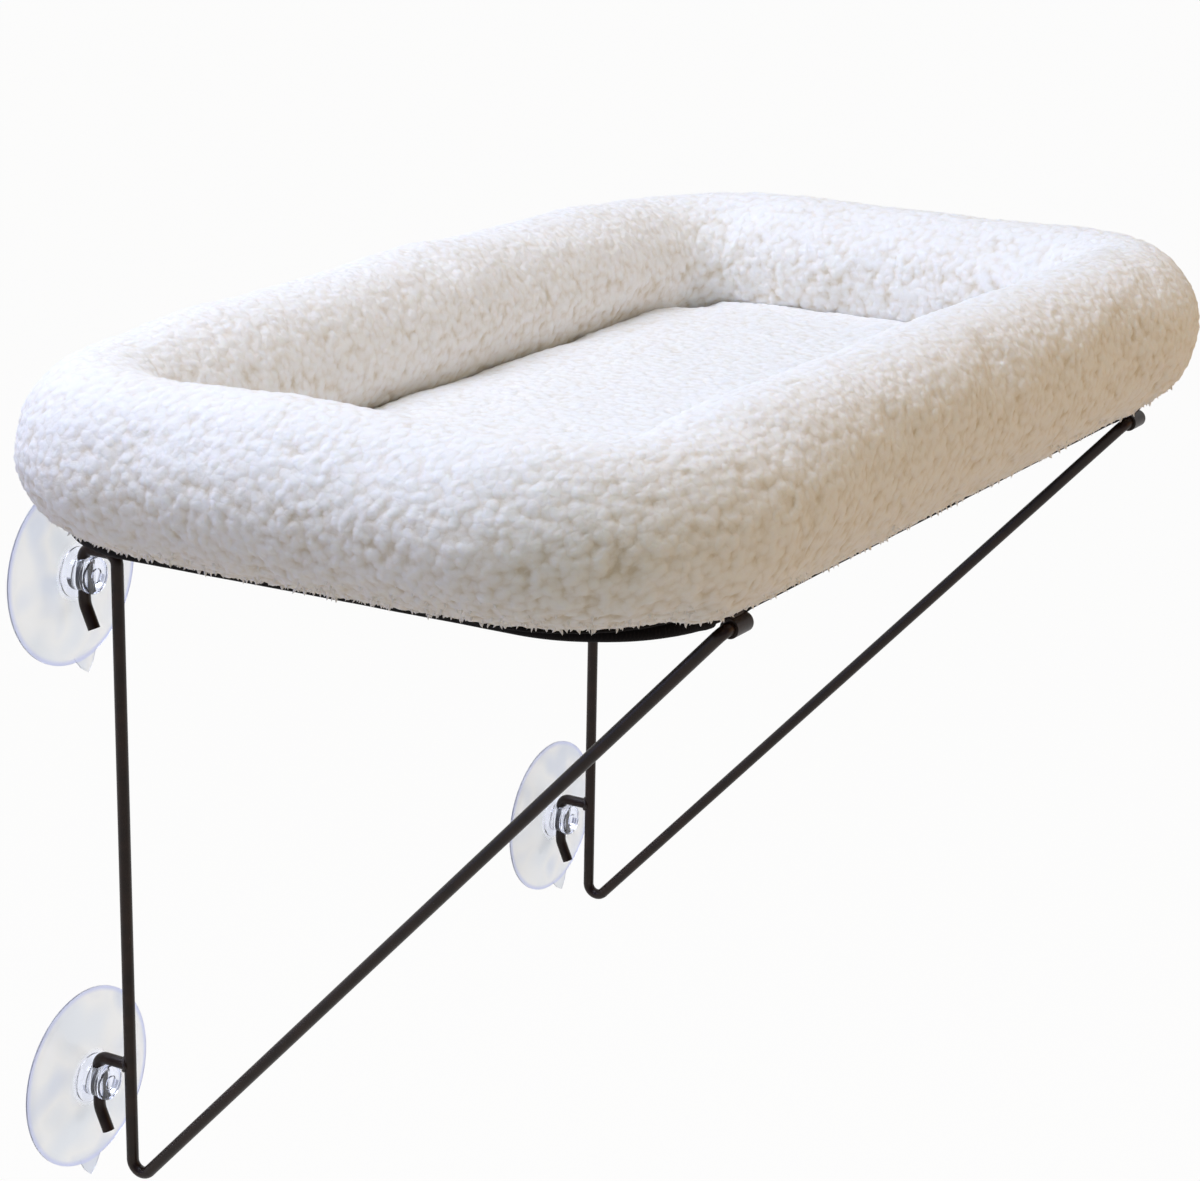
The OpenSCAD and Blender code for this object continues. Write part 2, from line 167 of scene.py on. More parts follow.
# Soft clear PVC, injection moulded and polished. The thin dish looks milky, a bluish violet
# painted reflection runs round its lip, and the thick knob is clear with wet highlights.
vinylFinish = {
    "knobColour": "#eef2ff",
    "lipColour": "#d9dfff",
    "dishColours": [(0.34, "#e9eef9"), (0.48, "#ffffff"), (0.66, "#f3f7fd")],
    # how strongly the painted reflection shows across the lip
    "lipShares": [(0.0, "#000000"), (0.6, "#ffffff"), (0.97, "#e0e0e0"), (1.0, "#202020")],
    "dishRim": (10.0, 14.0),  # from the middle of a cup, where the knob turns into the dish
    "lipRim": (39.9, 42.9),
    "Transmission Weight": (1.0, 0.92), "Roughness": (0.02, 0.3),  # of the knob and of the dish
    "cloud": 26.0, "ripple": 14.0, "rippleDepth": 0.3,
}


def clearVinyl(name, middle):
    material, tree, shader = newMaterial(name)
    place = addNode(tree, "TexCoord", "Object")
    fromMiddle = addNode(tree, "VectorMath", "Vector", {0: place, 1: tuple(-v for v in middle)},
                         operation="ADD")
    flat = addNode(tree, "VectorMath", "Vector", {0: fromMiddle, 1: (1 / mm, 0, 1 / mm)},
                   operation="MULTIPLY")
    radius = addNode(tree, "VectorMath", "Value", {0: flat}, operation="LENGTH")
    start, end = vinylFinish["dishRim"]
    dishShare = addNode(tree, "MapRange", "Result", {"Value": radius, "From Min": start, "From Max": end})
    start, end = vinylFinish["lipRim"]
    inLip = addNode(tree, "MapRange", "Result", {"Value": radius, "From Min": start, "From Max": end})
    lipReflectionShare = addNode(tree, "ValToRGB", "Color", {"Fac": inLip}, vinylFinish["lipShares"])
    cloud = addNode(tree, "TexNoise", "Fac", {
        "Vector": place, "Scale": 1 / (vinylFinish["cloud"] * mm), "Detail": 1.0})
    dish = addNode(tree, "ValToRGB", "Color", {"Fac": cloud}, vinylFinish["dishColours"])
    clear = addNode(tree, "Mix", 2, {0: dishShare, 6: toLinear(vinylFinish["knobColour"]), 7: dish},
                    data_type="RGBA")
    # a bluish violet painted reflection round the lip
    body = addNode(tree, "Mix", 2, {0: lipReflectionShare, 6: clear, 7: toLinear(vinylFinish["lipColour"])},
                   data_type="RGBA")
    ripple = addNode(tree, "TexNoise", "Fac", {
        "Vector": place, "Scale": 1 / (vinylFinish["ripple"] * mm), "Detail": 1.0})
    setInputs(shader, {
        "IOR": 1.5, "Coat Weight": 0.15, "Coat Roughness": 0.05, "Specular IOR Level": 0.5,
        "Base Color": body,
        "Normal": addNode(tree, "Bump", "Normal", {
            "Height": ripple, "Distance": vinylFinish["rippleDepth"] * mm, "Strength": 0.3}),
    })
    for socket in ("Transmission Weight", "Roughness"):
        knob, dish = vinylFinish[socket]
        setInputs(shader, {socket: addNode(tree, "MapRange", "Result", {
            "Value": dishShare, "To Min": knob, "To Max": dish})})
    return material


# Polyester canvas, plain woven and dyed black. Matte, with a fine crossed grain of threads.
# The threads are drawn 1.1 mm apart, twice as coarse as real ones, so that they show.
canvasFinish = {
    "colours": [(0.05, "#070404"), (0.25, "#0f0a0a"), (0.6, "#181212")],
    "slub": 5.0, "threadDepth": 0.15,
    "bandGap": 0.314,  # metres between the bands of a wave texture whose scale is 1
}


def blackCanvas(name, thread):
    material, tree, shader = newMaterial(name)
    place = addNode(tree, "TexCoord", "Object")
    threads = [
        addNode(tree, "TexWave", "Fac", {
            "Vector": place, "Scale": 1 / (thread * mm) * canvasFinish["bandGap"],
            "Distortion": 0.6, "Detail": 1.0, "Detail Scale": 1.2,
        }, wave_type="BANDS", bands_direction=direction) for direction in ("X", "Y")]
    weave = addNode(tree, "Math", "Value", {0: threads[0], 1: threads[1]}, operation="MULTIPLY")
    slubs = addNode(tree, "TexNoise", "Fac", {
        "Vector": place, "Scale": 1 / (canvasFinish["slub"] * mm), "Detail": 3.0})
    shade = addNode(tree, "Math", "Value", {0: weave, 1: slubs}, operation="MULTIPLY")
    setInputs(shader, {
        "Roughness": 0.9, "Sheen Weight": 0.02, "Sheen Roughness": 0.5, "IOR": 1.4,
        "Specular IOR Level": 0.2,
        "Base Color": addNode(tree, "ValToRGB", "Color", {"Fac": shade}, canvasFinish["colours"]),
        "Normal": addNode(tree, "Bump", "Normal", {
            "Height": weave, "Distance": canvasFinish["threadDepth"] * mm, "Strength": 0.5}),
    })
    return material


# Bonded polyester thread, twisted and dyed black: a small shine on each stitch.
threadFinish = {"colours": [(0.35, "#1b1819"), (0.65, "#454042")], "twist": 0.5, "twistDepth": 0.1}


def blackThread():
    material, tree, shader = newMaterial("blackThread")
    twist = addNode(tree, "TexNoise", "Fac", {
        "Vector": addNode(tree, "TexCoord", "Object"), "Scale": 1 / (threadFinish["twist"] * mm)})
    setInputs(shader, {
        "Roughness": 0.5, "Sheen Weight": 0.3,
        "Base Color": addNode(tree, "ValToRGB", "Color", {"Fac": twist}, threadFinish["colours"]),
        "Normal": addNode(tree, "Bump", "Normal", {
            "Height": twist, "Distance": threadFinish["twistDepth"] * mm, "Strength": 0.5}),
    })
    return material


# Polyester sherpa, knitted and tumbled into curls. White on the tops of the curls and turned
# creamy between them by painted shade, with a soft light that passes through the pile. The
# fibres are drawn 0.9 mm apart, many times as coarse as real ones, so that the pile looks
# fuzzy and not moulded.
sherpaFinish = {
    # the low creamy stops give the painted shade of the creases, the high ones the white tops
    "colours": [(0.0, "#ddd3c2"), (0.25, "#eee9e2"), (0.55, "#f8f6f4"), (0.95, "#fdfdfd")],
    "fibre": 0.9, "tuft": 2.3, "patch": 38.0, "curl": 4.0,
    "wander": 2.2, "wanderSpan": 6,  # of the small curls
    "scatter": 3.8, "scatterShares": (1.0, 0.88, 0.74),  # of light in the pile
    "noise": {"fibre": {"Detail": 4.0, "Roughness": 0.65, "Distortion": 1.6},
              "tuft": {"Detail": 2.0, "Distortion": 0.8}, "patch": {"Detail": 1.0}},
    # the curl tones are painted shade, darker in the creases of the curls and lighter in their middles;
    # the other tones differ at random
    "tones": {"fibre": (-0.12, 0.12), "tuft": (-0.1, 0.1), "patch": (-0.08, 0.08),
              "curl": (-0.25, 0.12)},
    "bumps": {"curl": (1.0, 0.42), "tuft": (0.6, 0.4), "fibre": (0.5, 0.6)},  # depth and strength
}


def sherpaPatterns(tree):
    place = addNode(tree, "TexCoord", "Object")
    wander = addNode(tree, "TexNoise", "Color", {
        "Vector": place, "Scale": 1 / (sherpaFinish["wanderSpan"] * mm)})
    wandered = addNode(tree, "VectorMath", "Vector", {
        0: wander, 1: (sherpaFinish["wander"] * mm,) * 3, 2: place}, operation="MULTIPLY_ADD")
    spot = addNode(tree, "TexVoronoi", "Distance", {
        "Vector": wandered, "Scale": 1 / (sherpaFinish["curl"] * mm)}, feature="F1")
    square = addNode(tree, "Math", "Value", {0: spot, 1: spot}, operation="MULTIPLY")
    patterns = {"curl": addNode(tree, "MapRange", "Result", {
        "Value": square, "From Max": 0.55, "To Min": 1.0, "To Max": 0.0})}
    for kind, more in sherpaFinish["noise"].items():
        patterns[kind] = addNode(tree, "TexNoise", "Fac", {
            "Vector": place, "Scale": 1 / (sherpaFinish[kind] * mm), **more})
    return patterns


def sherpaPile(name, through):
    material, tree, shader = newMaterial(name)
    patterns = sherpaPatterns(tree)
    tone = addNode(tree, "Attribute", "Fac", attribute_name="curl")
    for kind, (low, high) in sherpaFinish["tones"].items():
        change = addNode(tree, "MapRange", "Result", {
            "Value": patterns[kind], "To Min": low, "To Max": high})
        tone = addNode(tree, "Math", "Value", {0: tone, 1: change}, operation="ADD")
    relief = {}
    for kind, (depth, strength) in sherpaFinish["bumps"].items():
        relief = {"Normal": addNode(tree, "Bump", "Normal", {
            "Height": patterns[kind], "Distance": depth * mm, "Strength": strength, **relief})}
    setInputs(shader, {
        "Roughness": 1.0, "Specular IOR Level": 0.15, "Sheen Weight": 0.18, "Sheen Roughness": 0.7,
        "Subsurface Weight": through, "Subsurface Radius": sherpaFinish["scatterShares"],
        "Subsurface Scale": sherpaFinish["scatter"] * mm,
        "Base Color": addNode(tree, "ValToRGB", "Color", {"Fac": tone}, sherpaFinish["colours"]),
        **relief,
    })
    return material


wireMaterial = coatedSteelWire()
weldMaterial = coatedWeld()
canvasMaterial = blackCanvas("blackCanvas", 1.1)
twillMaterial = blackCanvas("blackTwill", 1.6)
threadMaterial = blackThread()
sherpaMaterial = sherpaPile("sherpaPile", 0.5)
tuftMaterial = sherpaPile("sherpaTips", 0.0)
print("materials made")


# Meshes
def meshPiece(name, points, faces, material):
    data = bpy.data.meshes.new(name)
    data.from_pydata(np.asarray(points, float).tolist(), [], [tuple(int(v) for v in f) for f in faces])
    data.update()
    data.shade_smooth()
    data.materials.append(material)
    piece = bpy.data.objects.new(name, data)
    bpy.context.scene.collection.objects.link(piece)
    return piece


def readRows(items, name):
    flat = np.zeros(len(items) * 3, np.float32)
    items.foreach_get(name, flat)
    return flat.reshape(-1, 3).astype(float)


def readPoints(data):
    return readRows(data.vertices, "co")


def readNormals(data):
    return readRows(data.vertex_normals, "vector")


def movePoints(data, points):
    data.vertices.foreach_set("co", points.astype(np.float32).ravel())
    data.update()


# On the curled pieces this tone carries painted shade in the creases and folds and painted light on the
# tops
def setCurl(data, tones):  # the attribute that the sherpa's colour starts from
    curl = data.attributes.new("curl", "FLOAT", "POINT")
    curl.data.foreach_set("value", tones.astype(np.float32))


def applyModifiers(piece):
    evaluated = piece.evaluated_get(bpy.context.evaluated_depsgraph_get())
    data = bpy.data.meshes.new_from_object(evaluated)
    old = piece.data
    piece.modifiers.clear()
    piece.data = data
    bpy.data.meshes.remove(old)
    data.name = piece.name
    data.shade_smooth()


def subdivide(piece, levels):
    finer = piece.modifiers.new("finer", "SUBSURF")
    finer.levels = finer.render_levels = levels
    applyModifiers(piece)


def transformed(points, matrix):
    return np.asarray(points) @ np.array(matrix.to_3x3()).T + np.array(matrix.translation)


def placeOnPlatform(points):
    return transformed(points, platformToWorld)


def takeToPlatform(points):
    return transformed(points, worldToPlatform)


def platformBox(node):
    points = takeToPlatform(readPoints(frame["nodes"][node].data))
    return Vector(points.min(0)), Vector(points.max(0))


def outlineLength(halfX, halfY, radius):
    return 4 * (halfX + halfY - 2 * radius) + 2 * math.pi * radius


# Places along a rounded rectangle, measured from the middle of its front side towards +X.
# Each row holds x, y, the outward direction, the share of a corner and the share of a side.
def alongOutline(halfX, halfY, radius, lengths):
    flatX, flatY, arc = halfX - radius, halfY - radius, radius * math.pi / 2
    stretches = [
        (flatX, (0, -halfY), 270, False), (arc, (flatX, -flatY), 270, True),
        (flatY * 2, (halfX, -flatY), 0, False), (arc, (flatX, flatY), 0, True),
        (flatX * 2, (flatX, halfY), 90, False), (arc, (-flatX, flatY), 90, True),
        (flatY * 2, (-halfX, flatY), 180, False), (arc, (-flatX, -flatY), 180, True),
        (flatX, (-flatX, -halfY), 270, False)]
    rows = []
    for length in lengths:
        rest = length % outlineLength(halfX, halfY, radius)
        for reach, start, heading, isCorner in stretches:
            if rest <= reach:
                break
            rest -= reach
        else:
            rest = reach
        turn = math.radians(heading + (90 * rest / reach if isCorner else 0))
        outX, outY = math.cos(turn), math.sin(turn)
        if isCorner:
            rows.append((start[0] + radius * outX, start[1] + radius * outY, outX, outY,
                         math.sin(math.pi * rest / reach), 0))
        else:
            x, y = start[0] - outY * rest, start[1] + outX * rest
            share = abs(x) / flatX if abs(outY) > abs(outX) else abs(y) / flatY
            rows.append((x, y, outX, outY, 0, math.cos(math.pi / 2 * min(1, share))))
    return np.array(rows)


def evenly(whole, step, start=0.0):
    count = max(4, round(whole / step))
    return [start + whole * i / count for i in range(count)]


def wholeOutline(halfX, halfY, radius, step):
    return alongOutline(halfX, halfY, radius, evenly(outlineLength(halfX, halfY, radius), step * mm))


def gridFaces(rows, across, wrapRows=False):
    faces = []
    for j in range(rows if wrapRows else rows - 1):
        above = (j + 1) % rows * across
        for i in range(across):
            beside = (i + 1) % across
            faces.append((j * across + i, j * across + beside, above + beside, above + i))
    return faces


# Round tubes of several radii along paths, all in one list of points and faces
def tubes(paths, radii, sides, closed=False):
    points, faces = [], []
    for path, radius in zip(paths, radii):
        first = len(points)
        path = [Vector(p) for p in path]
        count = len(path)
        aside = None
        for k in range(count):
            before = path[k - 1] if k or closed else path[0]
            after = path[(k + 1) % count] if k < count - 1 or closed else path[-1]
            way = (after - before).normalized()
            if aside is None:
                aside = way.orthogonal()
            aside = (aside - way * aside.dot(way)).normalized()
            up = way.cross(aside)
            for i in range(sides):
                turn = 2 * math.pi * i / sides
                points.append(path[k] + (aside * math.cos(turn) + up * math.sin(turn)) * radius[k])
        faces += [tuple(first + v for v in f) for f in gridFaces(count, sides, closed)]
        if not closed:
            faces.append(tuple(first + i for i in reversed(range(sides))))
            faces.append(tuple(first + (count - 1) * sides + i for i in range(sides)))
    return points, faces


# Repeatable values from 0 to 1 for the cells of a lattice: large odd factors mix their bits
mixing = {
    "axes": (73856093, 19349663, 83492791), "seed": 26544357,
    "rounds": ((13, 1274126177), (16, 1597334677)), "lastShift": 15,
    "low32": 0xffffffff, "low24": 0xffffff,
}


def latticeValue(cells, seed):
    mixed = seed * mixing["seed"]
    for axis, factor in enumerate(mixing["axes"]):
        mixed = mixed ^ cells[:, axis] * factor
    mixed = mixed & mixing["low32"]
    for shift, factor in mixing["rounds"]:
        mixed = (mixed ^ (mixed >> shift)) * factor & mixing["low32"]
    return ((mixed ^ (mixed >> mixing["lastShift"])) & mixing["low24"]) / mixing["low24"]


def smoothStep(share):
    share = np.clip(share, 0, 1)
    return share * share * (3 - 2 * share)


def smoothNoise(points, seed):  # from -1 to 1
    base = np.floor(points).astype(np.int64)
    part = smoothStep(points - base)
    total = np.zeros(len(points))
    for corner in range(8):
        step = np.array([corner & 1, corner >> 1 & 1, corner >> 2])
        total += np.where(step, part, 1 - part).prod(1) * latticeValue(base + step, seed)
    return total * 2 - 1


def cellPattern(points, seed):  # distances to the two nearest spots, and the nearest one's value
    base = np.floor(points).astype(np.int64)
    near, second = np.full(len(points), np.inf), np.full(len(points), np.inf)
    own = np.zeros(len(points))
    for number in range(27):
        cell = base + np.array([number % 3 - 1, number // 3 % 3 - 1, number // 9 - 1])
        spot = cell + np.stack([latticeValue(cell, seed + k) for k in range(3)], 1)
        gap = np.linalg.norm(points - spot, axis=1)
        closer = gap < near
        second = np.where(closer, near, np.minimum(second, gap))
        near = np.minimum(near, gap)
        own[closer] = latticeValue(cell[closer], seed + 3)
    return near, second, own


# How far cloth pressure moves each point of a stuffed piece, at most by the cap
def puffUp(piece, settings, pinned):
    data = piece.data
    start = readPoints(data)
    group = piece.vertex_groups.new(name="seam")
    group.add([int(i) for i in pinned], 1.0, "REPLACE")
    modifier = piece.modifiers.new("cloth", "CLOTH")
    cloth = modifier.settings
    cloth.quality = 5
    cloth.mass = 0.3
    cloth.tension_stiffness = cloth.compression_stiffness = settings["stiffness"]
    cloth.shear_stiffness = settings["stiffness"] / 3
    cloth.bending_stiffness = settings["bending"]
    cloth.use_pressure = True
    cloth.uniform_pressure_force = settings["pressure"]
    cloth.shrink_min = settings["shrink"]
    cloth.effector_weights.gravity = 0
    cloth.vertex_group_mass = "seam"
    modifier.point_cache.frame_start = 1
    modifier.point_cache.frame_end = settings["frames"]
    for step in range(1, settings["frames"] + 1):
        bpy.context.scene.frame_set(step)
    swollen = piece.evaluated_get(bpy.context.evaluated_depsgraph_get())
    moved = readPoints(swollen.data) - start
    bpy.context.scene.frame_set(1)
    piece.modifiers.remove(modifier)
    piece.vertex_groups.clear()
    length = np.maximum(np.linalg.norm(moved, axis=1), 1e-9)
    print("puffed up", piece.name, "mean move", round(float(length.mean()) / mm, 2), "mm")
    return moved * (np.minimum(length, settings["cap"] * mm) / length)[:, None]


# Sherpa curls: soft clumps of several sizes with thin creases between them
curls = {
    "size": 4.6,  # across one clump
    "fall": 1.35,  # how fast a clump falls off towards its rim
    "uneven": 0.4,  # share by which the clumps differ in height
    "crease": 0.3, "creaseWidth": 0.3,  # share by which it drops in a crease, share of a clump
    "large": 8.5, "largeFall": 1.3, "largeShare": 0.22,  # groups of clumps
    "wander": 1.6, "wanderSpan": 7.0,
    "height": 1.7,  # from a crease to a top
    "sink": 0.95,  # below the surface at a crease
    "swell": 0.45, "swellSpan": 15.0,  # slower unevenness
    "long": 0.6, "longSpan": 24.0, "longWidth": 0.07,  # long creases
    "longPatch": 37.0, "longSharp": 2.5, "longSpread": 0.3,  # the places that have them
    "foldWidth": 1.6, "foldDepth": 1.0, "foldWander": 0.5,
    "brushed": 0.4,  # share of the relief that is brushed flat where the pile faces up
}
# Tones that follow the relief, all painted: shade that makes the creases, long creases and folds creamy,
# light on the tops of the clumps and swells, and painted light that whitens the pile where it faces up and
# is brushed flatter
curlPaintedShading = {"base": 0.12, "dome": 0.78, "long": 0.16, "swell": 0.05, "brushed": 0.35, "fold": 0.22}


def distanceToPath(points, path):
    nearest = np.full(len(points), np.inf)
    for a, b in zip(path[:-1], path[1:]):
        way, fromStart = np.array(b) - np.array(a), points - np.array(a)
        share = np.clip(fromStart @ way / (way @ way), 0, 1)
        nearest = np.minimum(nearest, np.linalg.norm(fromStart - share[:, None] * way, axis=1))
    return nearest


# The shape of the clumps from 0 to 1. The added numbers keep the patterns apart.
def curlDome(wandered, seed):
    near, second, own = cellPattern(wandered / curls["size"] + 60, seed + 10)
    nearLarge = cellPattern(wandered / curls["large"] + 90, seed + 15)[0]
    dome = np.clip(1 - near * near * curls["fall"], 0, 1)
    dome *= 1 - curls["uneven"] / 2 + curls["uneven"] * own
    dome *= 1 - curls["crease"] + curls["crease"] * smoothStep((second - near) / curls["creaseWidth"])
    group = np.clip(1 - nearLarge * nearLarge * curls["largeFall"], 0, 1)
    return dome * (1 - curls["largeShare"]) + group * curls["largeShare"]


def raiseCurls(piece, seed, folds=()):
    data = piece.data
    points, outward = readPoints(data) / mm, readNormals(data)
    drift = np.stack([smoothNoise(points / curls["wanderSpan"] + 40, seed + k) for k in range(3)], 1)
    wandered = points + drift * curls["wander"]
    dome = curlDome(wandered, seed)
    # where the pile faces up it is brushed flatter and whitened by painted light
    flatAndPaintedLight = curls["brushed"] * smoothStep(outward[:, 2])
    dome += (curls["sink"] / curls["height"] - dome) * flatAndPaintedLight
    swell = smoothNoise(points / curls["swellSpan"], seed + 21)
    wave = np.abs(smoothNoise(wandered / curls["longSpan"], seed + 30))
    here = smoothNoise(points / curls["longPatch"], seed + 31) * curls["longSharp"] + curls["longSpread"]
    long = (1 - smoothStep(wave / curls["longWidth"])) * smoothStep(here)
    height = dome * curls["height"] - curls["sink"] + swell * curls["swell"] - long * curls["long"]
    # painted shade and light from the relief: creamy in creases and long creases, whiter on tops, swells
    # and where the pile faces up
    tone = (curlPaintedShading["base"] + dome * curlPaintedShading["dome"] - long * curlPaintedShading["long"]
            + swell * curlPaintedShading["swell"] + flatAndPaintedLight * curlPaintedShading["brushed"])
    for path in folds:
        gap = distanceToPath(points + drift * curls["foldWander"], path)
        fold = 1 - smoothStep(gap / curls["foldWidth"])
        # a fold sinks and is darkened by painted shade
        height -= fold * curls["foldDepth"]
        tone -= fold * curlPaintedShading["fold"]
    movePoints(data, (points + outward * height[:, None]) * mm)
    setCurl(data, np.clip(tone, 0, 1))
    print("raised curls on", piece.name, "with", len(points), "points")


# Loose tips of the pile along the hem: small closed tapered tufts that lean out of the curls
tufts = {
    "count": 1800,
    "length": (1.2, 3.0),
    "thick": (0.55, 1.05),  # radius at the root
    "sink": 0.7,
    "lean": 0.75, "droop": 0.7,  # shares of their way: straight out of the surface, and down
    "rings": ((0.0, 1.0, 0.0), (0.4, 0.72, 0.25), (0.75, 0.36, 0.2)),  # length, thickness, bow
    "tones": (0.4, 0.6, 0.8), "sides": 4,  # of the rings
}


def growTufts(name, carrier, isHem, seed):
    draw = np.random.default_rng(seed)
    points, outward = readPoints(carrier.data), readNormals(carrier.data)
    hem = np.where(isHem(points, outward))[0]
    roots = draw.choice(hem, min(len(hem), tufts["count"]), replace=False)
    sides, rings = tufts["sides"], len(tufts["rings"])
    tip = rings * sides
    made, faces = [], []
    for root in roots:
        normal = Vector(outward[root])
        aside = normal.cross(Vector(draw.normal(size=3))).normalized()
        lean = normal * tufts["lean"] + Vector((0, 0, -tufts["droop"]))
        way = (lean + aside * draw.uniform(0, 1)).normalized()
        length = draw.uniform(*tufts["length"]) * mm
        radius = draw.uniform(*tufts["thick"]) * mm
        start = Vector(points[root]) - normal * tufts["sink"] * mm
        across = way.orthogonal().normalized()
        up = way.cross(across)
        bow = aside * draw.uniform(-1, 1) * length
        first = len(made)
        for share, width, bend in tufts["rings"]:
            middle = start + way * length * share + bow * bend
            for i in range(sides):
                turn = 2 * math.pi * i / sides
                made.append(middle + (across * math.cos(turn) + up * math.sin(turn)) * radius * width)
        made.append(start + way * length)
        faces.append(tuple(first + i for i in reversed(range(sides))))
        faces += [tuple(first + v for v in f) for f in gridFaces(rings, sides)]
        faces += [(first + tip - sides + i, first + tip - sides + (i + 1) % sides, first + tip)
                  for i in range(sides)]
    piece = meshPiece(name, made, faces, tuftMaterial)
    tones = np.append(np.repeat(tufts["tones"], sides), tufts["tones"][-1])
    setCurl(piece.data, np.tile(tones, len(roots)))
    print("grew", len(roots), "tufts on", carrier.name)
    return piece


# The bolster: a stuffed ring on the bed's outline
bolster = {
    "width": 74.0,
    "cornerRadius": 59.0,
    "squash": 1.5, "cornerPinch": 0.05, "crown": 0.03, "undersideDraw": 0.08,
    "frontHang": 5.2,  # how far the front sags over the rail
    "frontShares": (0.86, 0.13),  # how far a side faces the front where it starts to hang, and blend
    "hangStart": 6.5, "hangReach": 6.0,  # outside the centre line
    "inset": 2.2,  # how much smaller it is before it is puffed up
    "step": 6.2,  # between the points of the ring before it is made finer
    "sides": 40,
    "topFiner": 0.25,  # share by which its points crowd towards the top
    "lump": 2.2, "lumpSize": 58.0,  # uneven filling
    "pinned": -0.75,  # share of the half height; the cloth is held below it
    "puff": {"pressure": 4.0, "stiffness": 12.0, "bending": 0.6, "shrink": -0.04,
             "frames": 20, "cap": 6.0},
    "uneven": 1.6,  # how far puffing up may leave the plain section
    "folds": [  # long creases at the near front corner
        [(-293, -305, 218), (-291, -313, 212), (-287, -321, 206), (-281, -327, 201), (-277, -329, 192),
         (-268, -336, 189), (-256, -342, 186), (-239, -346, 180)],
        [(-259, -345, 198), (-250, -347, 191), (-238, -351, 187)],
        [(-272, -329, 221), (-266, -335, 219), (-262, -337, 221), (-258, -342, 217)],
        [(-306, -271, 212), (-306, -277, 206), (-305, -283, 200)],
    ],
}


def ringTurns():
    even = 2 * math.pi * np.arange(bolster["sides"]) / bolster["sides"]
    return even + bolster["topFiner"] * np.cos(even)


def stuffedRing():
    low, high = platformBox("bolster_cover")
    middle = (low + high) / 2
    halfW, squash, inset = bolster["width"] / 2 * mm, bolster["squash"] * mm, bolster["inset"] * mm
    halfX, halfY = (high.x - low.x) / 2 - halfW, (high.y - low.y) / 2 - halfW
    halfH = (high.z - low.z + squash) / 2 / (1 + bolster["crown"])
    middle.z = low.z + halfH - squash
    rows = wholeOutline(halfX, halfY, bolster["cornerRadius"] * mm, bolster["step"])
    frontStart, frontBlend = bolster["frontShares"]
    front = smoothStep((-rows[:, 3] - frontStart) / frontBlend)
    points = []
    for turn in ringTurns():
        pinch = (1 - bolster["cornerPinch"] * rows[:, 4]) * (
            1 - bolster["undersideDraw"] * max(0, -math.sin(turn)))
        out = (halfW - inset) * pinch * math.cos(turn)
        rise = (halfH - inset) * (1 + bolster["crown"] * rows[:, 5]) * math.sin(turn)
        rise = np.maximum(rise, squash - halfH)
        outboard = smoothStep((out / mm - bolster["hangStart"]) / bolster["hangReach"])
        rise -= bolster["frontHang"] * mm * front * outboard * smoothStep(-math.sin(turn) * 2)
        points.append(np.c_[middle.x + rows[:, 0] + rows[:, 2] * out,
                            middle.y + rows[:, 1] + rows[:, 3] * out, middle.z + rise])
    points = placeOnPlatform(np.concatenate(points))
    faces = gridFaces(bolster["sides"], len(rows), True)
    return meshPiece("bolster_sherpa", points, faces, sherpaMaterial), len(rows)


# Puffing up gives the ring its unevenness, while each row of points keeps its mean place, so
# that the outline stays.
def makeBolster():
    ring, stations = stuffedRing()
    data = ring.data
    points, outward = readPoints(data), readNormals(data)
    lumps = smoothNoise(points / (bolster["lumpSize"] * mm), 5) * bolster["lump"] * mm
    underneath = np.clip(-outward[:, 2], 0, 1)
    movePoints(data, points + outward * (lumps * (1 - underneath))[:, None])
    swell = np.zeros((bolster["sides"], stations))
    low = np.sin(np.repeat(ringTurns(), stations)) < bolster["pinned"]
    moved = puffUp(ring, bolster["puff"], np.where(low)[0])
    swell = (moved * readNormals(data)).sum(1).reshape(swell.shape) / mm
    swell = np.clip(swell - swell.mean(1)[:, None], -bolster["uneven"], bolster["uneven"])
    grown = (bolster["inset"] + swell.ravel()) * mm
    movePoints(data, readPoints(data) + readNormals(data) * grown[:, None])
    subdivide(ring, 2)
    raiseCurls(ring, 1, bolster["folds"])
    return ring


hem = {"reach": 0.82, "slope": (-0.985, -0.72)}  # share of the half size, z of the outward direction


def overHem(points, outward):  # the lower outer edge, over the canvas
    local = takeToPlatform(points)
    low, high = platformBox("bolster_cover")
    middle = (low + high) / 2
    aside = np.stack([local[:, 0] - middle.x, local[:, 1] - middle.y], 1)
    reach = np.abs(aside) / np.array([(high.x - low.x) / 2, (high.y - low.y) / 2])
    isOuter = (reach.max(1) > hem["reach"]) & ((outward[:, :2] * aside).sum(1) > 0)
    steepest, flattest = hem["slope"]
    return isOuter & (outward[:, 2] < flattest) & (outward[:, 2] > steepest)


bolsterPiece = makeBolster()
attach(bolsterPiece, "bed")
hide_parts("bolster_cover", "bolster_filling")
tuftPiece = growTufts("bolster_tufts", bolsterPiece, overHem, 11)
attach(tuftPiece, "bed")
print("bolster made")


# The floor cushion: a crowned pad whose rim lies under the bolster
cushion = {
    "radius": 34.0,
    "grow": 4.0,  # how far its rim tucks under the bolster
    "step": 8,  # between the points of its outline
    "voxel": 6.0,
    "pinned": 2,  # height below which the cloth is held
    "puff": {"pressure": 3.0, "stiffness": 10.0, "bending": 0.5, "shrink": -0.05,
             "frames": 16, "cap": 2.5},
    # shares of its plan and height, from the underside round to the crown
    "profile": [(0.3, 0.0), (0.7, 0.0), (0.95, 0.0), (0.99, 0.12), (1.0, 0.36), (0.99, 0.58),
                (0.965, 0.73), (0.92, 0.83), (0.8, 0.91), (0.6, 0.97), (0.3, 1.0)],
}


